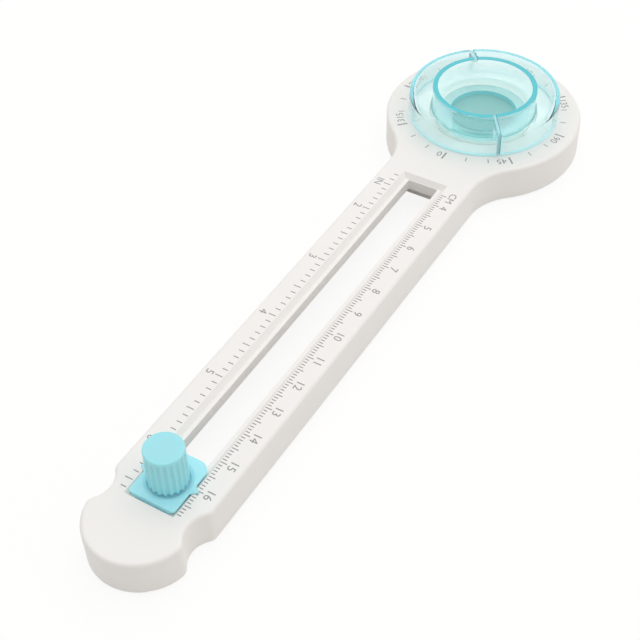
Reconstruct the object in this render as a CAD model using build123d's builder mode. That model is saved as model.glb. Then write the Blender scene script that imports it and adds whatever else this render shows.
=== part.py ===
from build123d import *
import os
from math import cos, pi, radians, sin, sqrt

# Circle cutter for paper and card. All lengths are in millimetres.
# The origin is on the table, under the turret's axis. +X runs along the arm to its handle,
# +Y is the side of the centimetre scale, and +Z is up.

# Clearances that several pieces share
seat_gap = 0.05
running_gap = 0.2
cut_overrun = 1.0

# Finger well of the turret, from which the radii of the turret and the arm's head follow
bore_radius = 14.7
collar_wall = 1.3
crown_width = 1.5
roof_width = 7.3
floor_ring_width = 4.2
hub_step = 0.7
flange_reach = 5.3
flange_gap = 0.6
collar_radius = bore_radius + collar_wall
crown_radius = bore_radius + crown_width
turret_radius = crown_radius + roof_width
floor_hole_radius = bore_radius - floor_ring_width
hub_radius = collar_radius + hub_step
flange_radius = hub_radius + flange_reach
pocket_radius = flange_radius + flange_gap

# Arm, seen from above: a round head, a straight arm and a bulb for a handle
stand_off = 0.6
arm_thickness = 11.0
skirt_wall = 1.6
side_cavity = 2.6
deck_thickness = 2.0
pocket_wall = 1.5
screw_land = 4.9
neck_radius = 17.5
neck_length = 9.8
slot_length = 136.8
bulb_inset = 0.3
bulb_offset = 4.3
notch_radius = 6.6
notch_set_back = 3.5
notch_depth = 2.7
notch_edge_radius = 3.0
top_edge_radius = 1.0
lower_edge_radius = 0.4
arm_top_z = stand_off + arm_thickness
deck_z = arm_top_z - deck_thickness
pocket_outer_radius = pocket_radius + pocket_wall
head_radius = pocket_outer_radius + screw_land + skirt_wall
slot_far_x = head_radius + neck_length
slot_near_x = slot_far_x + slot_length
bulb_x = slot_near_x + bulb_offset
notch_x = bulb_x - notch_set_back

# Slot along the arm, the sloped recess over it and the channel under its rails
slot_half_width = 4.85
slot_corner_radius = 0.6
recess_depth = 1.4
ledge_width = 1.15
recess_side_slope = 1.3
recess_far_slope = 1.3
recess_near_slope = 0.4
ledge_end_step = 0.15
rail_thickness = 3.3
rail_width = 3.95
channel_wall = 1.2
channel_far_margin = 5.3
channel_near_margin = 1.4
recess_half_width = slot_half_width + ledge_width + recess_side_slope
channel_half_width = slot_half_width + rail_width
arm_half_width = channel_half_width + channel_wall + side_cavity + skirt_wall
bulb_radius = arm_half_width - bulb_inset
notch_waist = arm_half_width - notch_depth
channel_far_x = slot_far_x - channel_far_margin
channel_near_x = slot_near_x + channel_near_margin
channel_length = channel_near_x - channel_far_x
channel_middle_x = (channel_near_x + channel_far_x) / 2
ledge_z = arm_top_z - recess_depth
rail_bottom_z = ledge_z - rail_thickness

# Cover under the arm and its screws
cover_thickness = 1.6
cover_gap = 0.1
screw_radius = 1.0
screw_length = 5.0
screw_head_radius = 1.9
screw_head_height = 0.9
screw_head_sink = 0.1
screw_head_gap = 0.15
screw_drive_width = 0.5
screw_drive_depth = 0.4
boss_radius = 2.1
boss_depth_spare = 0.4
cover_top_z = stand_off + cover_thickness
screw_seat_z = stand_off + screw_head_sink + screw_head_height
head_boss_angle = 110
neck_boss_offset = 0.4
neck_boss_inset = 3.4
handle_boss_offset = 2.5
head_boss_ring = pocket_outer_radius + screw_land / 2
head_boss_x = head_boss_ring * cos(radians(head_boss_angle))
head_boss_y = head_boss_ring * sin(radians(head_boss_angle))
neck_boss_x = head_radius + neck_boss_offset
neck_boss_y = arm_half_width - neck_boss_inset
handle_boss_x = bulb_x + handle_boss_offset
screw_places = [
    (head_boss_x, head_boss_y),
    (head_boss_x, -head_boss_y),
    (-head_boss_ring, 0),
    (neck_boss_x, neck_boss_y),
    (neck_boss_x, -neck_boss_y),
    (handle_boss_x, 0),
]

# Low-friction feet under the handle
foot_radius = 3.0
foot_seat_depth = 0.8
foot_land = 0.45
foot_angle = 47.3
foot_edge_radius = 0.3
foot_ring = bulb_radius - skirt_wall - foot_land - foot_radius
foot_x = bulb_x + foot_ring * cos(radians(foot_angle))
foot_y = foot_ring * sin(radians(foot_angle))

# Turret: a clear ring that is held still with two fingers while the arm turns round it
turret_lift = 0.4
turret_wall = 1.5
turret_wall_height = 7.5
turret_height = 9.0
shoulder_radius = 1.5
floor_rise = 0.4
floor_thickness = 1.8
hub_step_rise = 1.45
hub_wall = 1.5
index_angle = 37
index_width = 1.0
index_depth = 0.5
turret_bottom_z = arm_top_z + turret_lift
turret_shoulder_z = turret_bottom_z + turret_wall_height
turret_top_z = turret_bottom_z + turret_height
floor_z = arm_top_z + floor_rise
hub_step_z = arm_top_z + hub_step_rise

# Turret base, glide ring and the pad that grips the paper
flange_thickness = 2.0
plug_wall = 1.5
glide_ring_thickness = 0.6
glide_ring_gap = 1.3
lift_gap = 0.2
pad_border = 1.5
pad_seat_depth = 0.4
pad_edge_radius = 0.3
pocket_roof = 1.5
bearing_wall = 1.6
pad_radius = flange_radius - pad_border
flange_top_z = stand_off + flange_thickness
pocket_roof_z = flange_top_z + glide_ring_thickness + lift_gap
arm_bore_radius = hub_radius + running_gap

# Ribs inside the shell: across the arm beside the channel, round the head, at the neck and in the handle
rib_thickness = 1.0
rib_count = 7
head_rib_angles = (55, 82, 145, 215, 278, 305)
rib_pitch = slot_length / (rib_count + 1)
rib_places = [(slot_far_x + rib_pitch * (step + 0.5), 0) for step in range(rib_count)]
rib_inner_radius = arm_bore_radius + bearing_wall / 2
rib_outer_radius = head_radius - skirt_wall / 2
neck_rib_end = channel_far_x - channel_wall / 2
handle_rib_start = channel_near_x + channel_wall / 2
handle_rib_end = bulb_x + bulb_radius - skirt_wall / 2

# Knob, worked out from its stem: sleeve, hexagon, bush, then the knob's own wall
stem_radius = 1.6
stem_gap = 0.2
hex_wall = 0.8
hex_gap = 0.15
bush_wall = 0.67
knob_wall = 1.2
sleeve_hex_apothem = stem_radius + stem_gap + hex_wall
hex_corner_radius = (sleeve_hex_apothem + hex_gap) / cos(radians(30))
bush_radius = hex_corner_radius + bush_wall
knob_hollow_radius = bush_radius + seat_gap
knob_radius = knob_hollow_radius + knob_wall

# Slider plate with its two pointers, its well and its guide block
plate_far_margin = 1.6
plate_end_gap = 0.2
plate_side_gap = 0.6
plate_rise = 0.5
plate_far_radius = 3.2
plate_near_radius = 1.0
plate_edge_share = 0.5
ledge_gap = 0.1
pointer_lead = 0.4
pointer_length = 1.9
pointer_half_width = 1.5
pointer_gap = 0.1
well_gap = 0.3
well_floor_thickness = 0.7
dish_width = 0.9
dish_depth_share = 0.3
block_gap = 0.25
block_end_gap = 0.6
block_set_back = 0.3
block_far_margin = 0.4
block_near_margin = 0.6
pin_radius = 0.9
pin_engagement = 0.5
pin_land = 0.8
nut_wall = 0.9
sleeve_radius = 3.0
nut_apothem = sleeve_radius + nut_wall
pin_offset = nut_apothem + pin_land + pin_radius
pin_reach = pin_offset + pin_radius
block_near_x = slot_near_x - block_end_gap
knob_x = block_near_x - block_near_margin - pin_reach
block_far_x = knob_x - pin_reach - block_far_margin
plate_near_x = slot_near_x - plate_end_gap
plate_far_x = block_far_x - plate_far_margin
plate_half_width = recess_half_width - plate_side_gap
pointer_x = knob_x - pointer_lead
pointer_reach = plate_half_width + pointer_length
plate_bottom_z = ledge_z + ledge_gap
plate_top_z = arm_top_z + plate_rise
plate_edge_radius = plate_edge_share * (plate_rise - pointer_gap)
well_floor_z = plate_bottom_z + well_floor_thickness
well_radius = knob_radius + well_gap
dish_z = plate_top_z - dish_depth_share * (plate_top_z - well_floor_z)
block_bottom_z = rail_bottom_z + block_set_back
block_half_width = slot_half_width - block_gap

# Clamp: a threaded sleeve that the knob turns, and the shoe that it draws up under the rails
thread_pitch = 0.7
clamp_turn = 180
shoe_gap = 0.4
shoe_thickness = 1.4
shoe_side_gap = 1.2
shoe_far_margin = 0.1
shoe_near_margin = 0.5
shoe_corner_radius = 1.0
pin_gap = 0.15
sleeve_gap = 0.15
sleeve_flange_width = 0.7
sleeve_flange_thickness = 0.8
sleeve_hex_height = 3.1
sleeve_end = 0.4
clamp_lift = thread_pitch * clamp_turn / 360
sleeve_flange_radius = sleeve_radius + sleeve_flange_width
shoe_far_x = knob_x - pin_reach - shoe_far_margin
shoe_near_x = knob_x + pin_reach + shoe_near_margin
shoe_half_width = channel_half_width - shoe_side_gap
shoe_top_z = rail_bottom_z - shoe_gap
shoe_bottom_z = shoe_top_z - shoe_thickness
sleeve_bottom_z = shoe_bottom_z - sleeve_end
sleeve_flange_z = well_floor_z + seat_gap
sleeve_hex_z = sleeve_flange_z + sleeve_flange_thickness
sleeve_top_z = sleeve_hex_z + sleeve_hex_height

# Plunger: the stem under the knob and the holder that carries the blade
stroke = 1.2
stem_head_width = 1.0
stem_head_height = 0.8
stem_roof_gap = 0.1
holder_stop_gap = 0.1
holder_thickness = 2.2
holder_half_width = 3.2
holder_near_margin = 0.3
holder_corner_radius = 0.8
tab_thickness = 1.5
tab_half_width = 2.6
tab_height = 1.7
stem_head_radius = stem_radius + stem_head_width
holder_near_x = knob_x + pin_reach + holder_near_margin
holder_top_z = sleeve_bottom_z - holder_stop_gap
holder_bottom_z = holder_top_z - holder_thickness
tab_top_z = holder_top_z + tab_height
pin_end_z = holder_top_z - stroke - pin_engagement

# Blade, a pointed strip that stands square to the arm, and what holds it
blade_lead = 0.5
blade_thickness = 0.5
blade_half_width = 2.2
blade_point_height = 2.2
blade_park_gap = 0.1
blade_top_gap = 0.2
clamp_plate_thickness = 0.5
clamp_plate_margin = 0.2
blade_screw_drop = 1.4
blade_screw_radius = 0.6
blade_screw_head_radius = 1.1
blade_screw_head_height = 0.8
blade_x = plate_far_x - blade_lead
blade_tip_z = stand_off + blade_park_gap
blade_top_z = tab_top_z - blade_top_gap
blade_screw_z = tab_top_z - blade_screw_drop
tab_far_x = blade_x + blade_thickness / 2
blade_far_x = blade_x - blade_thickness / 2
clamp_plate_far_x = blade_far_x - clamp_plate_thickness

# Knob's height and flutes, the clip that holds it on the stem, the bush, and the spring
knob_gap = 0.2
knob_height = 11.6
knob_edge_radius = 0.4
knob_roof = 2.9
flute_count = 20
flute_radius = 0.55
flute_depth = 0.38
flute_top_drop = 0.9
clip_thickness = 1.0
clip_mouth_share = 0.9
bush_set_back = 1.1
bush_height = 2.6
spring_wire_radius = 0.225
spring_gap = 0.375
spring_turns = 3
spring_mean_radius = stem_radius + spring_gap + spring_wire_radius
knob_bottom_z = plate_top_z + knob_gap
knob_top_z = knob_bottom_z + knob_height
knob_roof_z = knob_top_z - knob_roof
stem_head_z = knob_roof_z - stem_roof_gap - stem_head_height
clip_top_z = stem_head_z - seat_gap
clip_bottom_z = clip_top_z - clip_thickness
bush_bottom_z = knob_bottom_z + bush_set_back
spring_length = clip_bottom_z - sleeve_top_z


def arm_outline(inset):
    """Outline of the arm drawn in by the inset: head, straight arm and bulb, notched for two fingers."""
    notch_centre_y = notch_waist + notch_radius
    with BuildSketch() as outline:
        Circle(head_radius - inset)
        with Locations((bulb_x / 2, 0)):
            Rectangle(bulb_x, 2 * (arm_half_width - inset))
        with Locations((bulb_x, 0)):
            Circle(bulb_radius - inset)
        with Locations((notch_x, notch_centre_y), (notch_x, -notch_centre_y)):
            Circle(notch_radius + inset, mode=Mode.SUBTRACT)
        neck_corners = outline.vertices().filter_by_position(Axis.X, 0, head_radius)
        fillet(neck_corners, neck_radius + inset)
        notch_corners = outline.vertices().filter_by_position(
            Axis.X, notch_x - notch_radius - inset, notch_x + notch_radius + inset
        )
        fillet(notch_corners, notch_edge_radius - inset)
    return outline.sketch


# Upper shell of the arm: deck, skirt, rails, and the bearing that the turret turns in
cavity_height = deck_z - stand_off
rail_block_height = deck_z - rail_bottom_z
wall_height = rail_bottom_z - cover_top_z
with BuildPart() as arm_shell:
    with BuildSketch(Plane.XY.offset(stand_off)):
        add(arm_outline(0))
    extrude(amount=arm_thickness)
    fillet(arm_shell.faces().sort_by(Axis.Z)[-1].edges(), top_edge_radius)
    fillet(arm_shell.faces().sort_by(Axis.Z)[0].edges(), lower_edge_radius)
    with BuildSketch(Plane.XY.offset(stand_off)):
        add(arm_outline(skirt_wall))
    extrude(amount=cavity_height, mode=Mode.SUBTRACT)
    with BuildSketch(Plane.XY.offset(rail_bottom_z)):
        with Locations((channel_middle_x, 0)):
            Rectangle(channel_length + 2 * channel_wall, 2 * (channel_half_width + channel_wall))
    extrude(amount=rail_block_height)
    with BuildSketch(Plane.XY.offset(cover_top_z)):
        with Locations((channel_middle_x, 0)):
            Rectangle(channel_length + 2 * channel_wall, 2 * (channel_half_width + channel_wall))
            Rectangle(channel_length, 2 * channel_half_width, mode=Mode.SUBTRACT)
    extrude(amount=wall_height)
    with BuildSketch(Plane.XY.offset(stand_off)):
        Circle(pocket_outer_radius)
    extrude(amount=pocket_roof_z + pocket_roof - stand_off)
    with BuildSketch(Plane.XY.offset(pocket_roof_z)):
        Circle(arm_bore_radius + bearing_wall)
    extrude(amount=deck_z - pocket_roof_z)
    with BuildSketch(Plane.XY.offset(cover_top_z)):
        with Locations(screw_places):
            Circle(boss_radius)
    extrude(amount=deck_z - cover_top_z)
    with BuildSketch(Plane.XY.offset(cover_top_z)):
        with Locations(rib_places):
            Rectangle(rib_thickness, 2 * arm_half_width - skirt_wall)
        with Locations((channel_middle_x, 0)):
            Rectangle(channel_length, 2 * channel_half_width + channel_wall, mode=Mode.SUBTRACT)
        for angle in head_rib_angles:
            with PolarLocations((rib_inner_radius + rib_outer_radius) / 2, 1, start_angle=angle):
                Rectangle(rib_outer_radius - rib_inner_radius, rib_thickness)
        with Locations(((rib_inner_radius + neck_rib_end) / 2, 0)):
            Rectangle(neck_rib_end - rib_inner_radius, rib_thickness)
        with Locations(((handle_rib_start + handle_rib_end) / 2, 0)):
            Rectangle(handle_rib_end - handle_rib_start, rib_thickness)
    extrude(amount=deck_z - cover_top_z)
    with BuildSketch(Plane.XY.offset(stand_off)):
        Circle(pocket_radius)
    extrude(amount=pocket_roof_z - stand_off, mode=Mode.SUBTRACT)
    with BuildSketch(Plane.XY.offset(stand_off)):
        Circle(arm_bore_radius)
    extrude(amount=arm_thickness, mode=Mode.SUBTRACT)
    with BuildSketch(Plane.XY.offset(stand_off)):
        with Locations(((slot_far_x + slot_near_x) / 2, 0)):
            RectangleRounded(slot_near_x - slot_far_x, 2 * slot_half_width, slot_corner_radius)
    extrude(amount=arm_thickness, mode=Mode.SUBTRACT)
    recess_floor_half_width = recess_half_width - recess_side_slope
    ledge_far_x = slot_far_x - ledge_end_step
    ledge_near_x = slot_near_x + ledge_end_step
    recess_far_x = ledge_far_x - recess_far_slope
    recess_near_x = ledge_near_x + recess_near_slope
    with BuildSketch(Plane.XY.offset(ledge_z)):
        with Locations(((ledge_far_x + ledge_near_x) / 2, 0)):
            Rectangle(ledge_near_x - ledge_far_x, 2 * recess_floor_half_width)
    with BuildSketch(Plane.XY.offset(arm_top_z)):
        with Locations(((recess_far_x + recess_near_x) / 2, 0)):
            Rectangle(recess_near_x - recess_far_x, 2 * recess_half_width)
    loft(mode=Mode.SUBTRACT)
    with BuildSketch(Plane.XY.offset(cover_top_z)):
        with Locations(screw_places):
            Circle(screw_radius + seat_gap)
    extrude(amount=screw_length + boss_depth_spare - (cover_top_z - screw_seat_z), mode=Mode.SUBTRACT)

# Cover let into the underside of the arm
with BuildPart() as arm_cover:
    with BuildSketch(Plane.XY.offset(stand_off)):
        add(arm_outline(skirt_wall + cover_gap))
        Circle(pocket_outer_radius + cover_gap, mode=Mode.SUBTRACT)
        with Locations((channel_middle_x, 0)):
            Rectangle(channel_length, 2 * channel_half_width, mode=Mode.SUBTRACT)
    extrude(amount=cover_thickness)
    with Locations([(x, y, stand_off) for x, y in screw_places]):
        Cylinder(
            screw_head_radius + screw_head_gap,
            2 * (screw_head_sink + screw_head_height),
            mode=Mode.SUBTRACT,
        )
        Cylinder(screw_radius + screw_head_gap, 2 * (cover_thickness + cut_overrun), mode=Mode.SUBTRACT)
    with Locations((foot_x, foot_y, stand_off), (foot_x, -foot_y, stand_off)):
        Cylinder(foot_radius + seat_gap, 2 * foot_seat_depth, mode=Mode.SUBTRACT)

# Screws that hold the cover to the shell, with crossed drive slots
with BuildPart() as cover_screws:
    with BuildSketch(Plane.XY.offset(stand_off + screw_head_sink)):
        with Locations(screw_places):
            Circle(screw_head_radius)
    extrude(amount=screw_head_height)
    with BuildSketch(Plane.XY.offset(screw_seat_z)):
        with Locations(screw_places):
            Circle(screw_radius)
    extrude(amount=screw_length)
    with BuildSketch(Plane.XY.offset(stand_off + screw_head_sink)):
        with Locations(screw_places):
            Rectangle(2 * screw_radius, screw_drive_width)
            Rectangle(screw_drive_width, 2 * screw_radius)
    extrude(amount=screw_drive_depth, mode=Mode.SUBTRACT)

# Two glide feet that carry the handle end at the height of the turret's pad
with BuildPart() as glide_feet:
    with BuildSketch():
        with Locations((foot_x, foot_y), (foot_x, -foot_y)):
            Circle(foot_radius)
    extrude(amount=stand_off + foot_seat_depth)
    fillet(glide_feet.edges().group_by(Axis.Z)[0], foot_edge_radius)

# Clear turret: outer wall, sloped roof, round well with its floor ring, and the hub below
skirt_inner_radius = hub_radius - hub_wall
floor_bottom_z = floor_z - floor_thickness
roof_slope = (turret_top_z - turret_shoulder_z) / (turret_radius - crown_radius)
roof_drop = turret_wall * sqrt(1 + roof_slope**2)
roof_inner_wall_z = turret_shoulder_z + roof_slope * turret_wall - roof_drop
roof_inner_collar_z = turret_shoulder_z + roof_slope * (turret_radius - collar_radius) - roof_drop
with BuildPart() as turret_dome:
    with BuildSketch(Plane.XZ) as dome_section:
        with BuildLine():
            Polyline(
                (turret_radius, turret_bottom_z),
                (turret_radius, turret_shoulder_z),
                (crown_radius, turret_top_z),
                (bore_radius, turret_top_z),
                (bore_radius, floor_z),
                (floor_hole_radius, floor_z),
                (floor_hole_radius, floor_bottom_z),
                (skirt_inner_radius, floor_bottom_z),
                (skirt_inner_radius, flange_top_z),
                (hub_radius, flange_top_z),
                (hub_radius, hub_step_z),
                (collar_radius, hub_step_z),
                (collar_radius, roof_inner_collar_z),
                (turret_radius - turret_wall, roof_inner_wall_z),
                (turret_radius - turret_wall, turret_bottom_z),
                close=True,
            )
        make_face()
        outer_corners = dome_section.vertices().group_by(Axis.X)[-1]
        fillet(outer_corners.sort_by(Axis.Y)[-1], shoulder_radius)
    revolve(axis=Axis.Z)
    groove_plane = Plane(origin=(0, 0, 0), x_dir=(cos(radians(index_angle)), sin(radians(index_angle)), 0),
                         z_dir=(sin(radians(index_angle)), -cos(radians(index_angle)), 0))
    with BuildSketch(groove_plane):
        with BuildLine():
            Polyline(
                (bore_radius - cut_overrun, turret_top_z - index_depth),
                (crown_radius, turret_top_z - index_depth),
                (turret_radius - index_depth, turret_shoulder_z),
                (turret_radius - index_depth, turret_bottom_z - cut_overrun),
                (turret_radius + cut_overrun, turret_bottom_z - cut_overrun),
                (turret_radius + cut_overrun, turret_top_z + cut_overrun),
                (bore_radius - cut_overrun, turret_top_z + cut_overrun),
                close=True,
            )
        make_face()
        mirror(about=Plane.YZ)
    extrude(amount=index_width / 2, both=True, mode=Mode.SUBTRACT)

# Turret base: a flange under the arm with a hollow plug that closes the well
plug_radius = skirt_inner_radius - seat_gap
with BuildPart() as turret_base:
    with BuildSketch(Plane.XZ):
        with BuildLine():
            Polyline(
                (0, floor_bottom_z),
                (plug_radius, floor_bottom_z),
                (plug_radius, flange_top_z),
                (flange_radius, flange_top_z),
                (flange_radius, stand_off),
                (pad_radius + seat_gap, stand_off),
                (pad_radius + seat_gap, stand_off + pad_seat_depth),
                (plug_radius - plug_wall, stand_off + pad_seat_depth),
                (plug_radius - plug_wall, floor_bottom_z - plug_wall),
                (0, floor_bottom_z - plug_wall),
                close=True,
            )
        make_face()
    revolve(axis=Axis.Z)

# Soft pad under the base
with BuildPart() as base_pad:
    with BuildSketch():
        Circle(pad_radius)
    extrude(amount=stand_off + pad_seat_depth)
    fillet(base_pad.edges().group_by(Axis.Z)[0], pad_edge_radius)

# Slippery ring between the base's flange and the roof of the arm's pocket
with BuildPart() as glide_ring:
    with BuildSketch(Plane.XY.offset(flange_top_z)):
        Circle(flange_radius - seat_gap)
        Circle(hub_radius + glide_ring_gap, mode=Mode.SUBTRACT)
    extrude(amount=glide_ring_thickness)

# Slider plate, which rides on the ledges with its block between the rails
plate_length = plate_near_x - plate_far_x
plate_middle_x = (plate_near_x + plate_far_x) / 2
plate_taper = recess_side_slope


def plate_outline(half_width):
    """Outline of the plate at a half width, with its two far corners rounder than the near ones."""
    with BuildSketch() as outline:
        with Locations((plate_middle_x, 0)):
            Rectangle(plate_length, 2 * half_width)
        fillet(outline.vertices().group_by(Axis.X)[0], plate_far_radius)
        fillet(outline.vertices().group_by(Axis.X)[-1], plate_near_radius)
    return outline.sketch


with BuildPart() as slider_plate:
    with BuildSketch(Plane.XY.offset(plate_bottom_z)):
        add(plate_outline(plate_half_width - plate_taper))
    with BuildSketch(Plane.XY.offset(arm_top_z)):
        add(plate_outline(plate_half_width))
    loft()
    with BuildSketch(Plane.XY.offset(arm_top_z)):
        add(plate_outline(plate_half_width))
    extrude(amount=plate_rise)
    with BuildSketch(Plane.XY.offset(arm_top_z + pointer_gap)):
        with BuildLine():
            Polyline(
                (pointer_x - pointer_half_width, plate_half_width - pointer_half_width),
                (pointer_x - pointer_half_width, plate_half_width),
                (pointer_x, pointer_reach),
                (pointer_x + pointer_half_width, plate_half_width),
                (pointer_x + pointer_half_width, plate_half_width - pointer_half_width),
                close=True,
            )
        make_face()
        mirror(about=Plane.XZ)
    extrude(amount=plate_rise - pointer_gap)
    fillet(slider_plate.faces().sort_by(Axis.Z)[-1].edges(), plate_edge_radius)
    with BuildSketch(Plane.XY.offset(block_bottom_z)):
        with Locations(((block_far_x + block_near_x) / 2, 0)):
            Rectangle(block_near_x - block_far_x, 2 * block_half_width)
    extrude(amount=plate_bottom_z - block_bottom_z)
    with BuildSketch(Plane.XY.offset(pin_end_z)):
        with Locations((knob_x - pin_offset, 0), (knob_x + pin_offset, 0)):
            Circle(pin_radius)
    extrude(amount=block_bottom_z - pin_end_z)
    with BuildSketch(Plane.XY.offset(well_floor_z)):
        with Locations((knob_x, 0)):
            Circle(well_radius)
    extrude(amount=plate_top_z - well_floor_z, mode=Mode.SUBTRACT)
    with BuildSketch(Plane.XZ):
        with BuildLine():
            Polyline(
                (knob_x, plate_top_z),
                (knob_x + well_radius + dish_width, plate_top_z),
                (knob_x + well_radius, dish_z),
                (knob_x, dish_z),
                close=True,
            )
        make_face()
    revolve(axis=Axis((knob_x, 0, 0), (0, 0, 1)), mode=Mode.SUBTRACT)
    with BuildSketch(Plane.XY.offset(block_bottom_z)):
        with Locations((knob_x, 0)):
            Circle(sleeve_radius + sleeve_gap)
    extrude(amount=plate_top_z - block_bottom_z, mode=Mode.SUBTRACT)

# Clamp sleeve: threaded below, with a flange on the well's floor and a hexagon inside the knob
with BuildPart() as clamp_sleeve:
    with BuildSketch(Plane.XY.offset(sleeve_bottom_z)):
        with Locations((knob_x, 0)):
            Circle(sleeve_radius)
    extrude(amount=sleeve_flange_z - sleeve_bottom_z)
    with BuildSketch(Plane.XY.offset(sleeve_flange_z)):
        with Locations((knob_x, 0)):
            Circle(sleeve_flange_radius)
    extrude(amount=sleeve_flange_thickness)
    with BuildSketch(Plane.XY.offset(sleeve_hex_z)):
        with Locations((knob_x, 0)):
            RegularPolygon(sleeve_hex_apothem, side_count=6, major_radius=False)
    extrude(amount=sleeve_hex_height)
    with BuildSketch(Plane.XY.offset(sleeve_bottom_z)):
        with Locations((knob_x, 0)):
            Circle(stem_radius + stem_gap)
    extrude(amount=sleeve_top_z - sleeve_bottom_z, mode=Mode.SUBTRACT)

# Clamp shoe under the rails, guided by the slider's two pins
shoe_middle_x = (shoe_far_x + shoe_near_x) / 2
with BuildPart() as clamp_shoe:
    with BuildSketch(Plane.XY.offset(shoe_bottom_z)):
        with Locations((shoe_middle_x, 0)):
            RectangleRounded(shoe_near_x - shoe_far_x, 2 * shoe_half_width, shoe_corner_radius)
        with Locations((knob_x, 0)):
            RegularPolygon(
                nut_apothem + seat_gap, side_count=6, major_radius=False, rotation=30, mode=Mode.SUBTRACT
            )
        with Locations((knob_x - pin_offset, 0), (knob_x + pin_offset, 0)):
            Circle(pin_radius + pin_gap, mode=Mode.SUBTRACT)
    extrude(amount=shoe_thickness)

# Hexagonal nut held in the shoe
with BuildPart() as shoe_nut:
    with BuildSketch(Plane.XY.offset(shoe_bottom_z)):
        with Locations((knob_x, 0)):
            RegularPolygon(nut_apothem, side_count=6, major_radius=False, rotation=30)
            Circle(sleeve_radius + sleeve_gap, mode=Mode.SUBTRACT)
    extrude(amount=shoe_thickness)

# Stem with a head at the top, pressed into the blade holder at the bottom
with BuildPart() as plunger_stem:
    with BuildSketch(Plane.XY.offset(holder_bottom_z)):
        with Locations((knob_x, 0)):
            Circle(stem_radius)
    extrude(amount=stem_head_z - holder_bottom_z)
    with BuildSketch(Plane.XY.offset(stem_head_z)):
        with Locations((knob_x, 0)):
            Circle(stem_head_radius)
    extrude(amount=stem_head_height)

# Blade holder: a bar under the shoe with an upright tab at its far end
with BuildPart() as blade_holder:
    with BuildSketch(Plane.XY.offset(holder_bottom_z)):
        with Locations(((tab_far_x + holder_near_x) / 2, 0)):
            RectangleRounded(holder_near_x - tab_far_x, 2 * holder_half_width, holder_corner_radius)
        with Locations((knob_x, 0)):
            Circle(stem_radius + seat_gap, mode=Mode.SUBTRACT)
        with Locations((knob_x - pin_offset, 0), (knob_x + pin_offset, 0)):
            Circle(pin_radius + pin_gap, mode=Mode.SUBTRACT)
    extrude(amount=holder_thickness)
    with BuildSketch(Plane.XY.offset(holder_bottom_z)):
        with Locations((tab_far_x + tab_thickness / 2, 0)):
            Rectangle(tab_thickness, 2 * tab_half_width)
    extrude(amount=tab_top_z - holder_bottom_z)
    with BuildSketch(Plane.YZ.offset(tab_far_x)):
        with Locations((0, blade_screw_z)):
            Circle(blade_screw_radius + seat_gap)
    extrude(amount=tab_thickness, mode=Mode.SUBTRACT)

# Blade with a point that cuts in both directions
with BuildPart() as blade:
    with BuildSketch(Plane.YZ.offset(blade_far_x)):
        with BuildLine():
            Polyline(
                (0, blade_tip_z),
                (blade_half_width, blade_tip_z + blade_point_height),
                (blade_half_width, blade_top_z),
                (-blade_half_width, blade_top_z),
                (-blade_half_width, blade_tip_z + blade_point_height),
                close=True,
            )
        make_face()
        with Locations((0, blade_screw_z)):
            Circle(blade_screw_radius + seat_gap, mode=Mode.SUBTRACT)
    extrude(amount=blade_thickness)

# Small plate that presses the blade against the tab
clamp_plate_bottom_z = blade_tip_z + blade_point_height + clamp_plate_margin
with BuildPart() as blade_clamp:
    with BuildSketch(Plane.YZ.offset(clamp_plate_far_x)):
        with Locations((0, (clamp_plate_bottom_z + tab_top_z) / 2)):
            Rectangle(2 * tab_half_width, tab_top_z - clamp_plate_bottom_z)
        with Locations((0, blade_screw_z)):
            Circle(blade_screw_radius + seat_gap, mode=Mode.SUBTRACT)
    extrude(amount=clamp_plate_thickness)

# Screw through the small plate and the blade into the tab
with BuildPart() as blade_screw:
    with BuildSketch(Plane.YZ.offset(clamp_plate_far_x)):
        with Locations((0, blade_screw_z)):
            Circle(blade_screw_radius)
    extrude(amount=clamp_plate_thickness + blade_thickness + tab_thickness)
    with BuildSketch(Plane.YZ.offset(clamp_plate_far_x - blade_screw_head_height)):
        with Locations((0, blade_screw_z)):
            Circle(blade_screw_head_radius)
    extrude(amount=blade_screw_head_height)

# Knob: a hollow fluted cap
with BuildPart() as knob:
    with BuildSketch(Plane.XY.offset(knob_bottom_z)):
        with Locations((knob_x, 0)):
            Circle(knob_radius)
    extrude(amount=knob_height)
    fillet(knob.faces().sort_by(Axis.Z)[-1].edges(), knob_edge_radius)
    with BuildSketch(Plane.XY.offset(knob_bottom_z)):
        with Locations((knob_x, 0)):
            with PolarLocations(knob_radius - flute_depth + flute_radius, flute_count):
                Circle(flute_radius)
    extrude(amount=knob_height - flute_top_drop, mode=Mode.SUBTRACT)
    with BuildSketch(Plane.XY.offset(knob_bottom_z)):
        with Locations((knob_x, 0)):
            Circle(knob_hollow_radius)
    extrude(amount=knob_height - knob_roof, mode=Mode.SUBTRACT)

# Clip pressed into the knob under the stem's head, open on one side
with BuildPart() as knob_clip:
    with BuildSketch(Plane.XY.offset(clip_bottom_z)):
        with Locations((knob_x, 0)):
            Circle(bush_radius)
            Circle(stem_radius + stem_gap, mode=Mode.SUBTRACT)
        with Locations((knob_x + knob_hollow_radius / 2, 0)):
            Rectangle(knob_hollow_radius, 2 * clip_mouth_share * stem_radius, mode=Mode.SUBTRACT)
    extrude(amount=clip_thickness)

# Bush pressed into the knob, with the hexagon that turns the sleeve
with BuildPart() as drive_bush:
    with BuildSketch(Plane.XY.offset(bush_bottom_z)):
        with Locations((knob_x, 0)):
            Circle(bush_radius)
            RegularPolygon(
                sleeve_hex_apothem + hex_gap, side_count=6, major_radius=False, mode=Mode.SUBTRACT
            )
    extrude(amount=bush_height)


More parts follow.
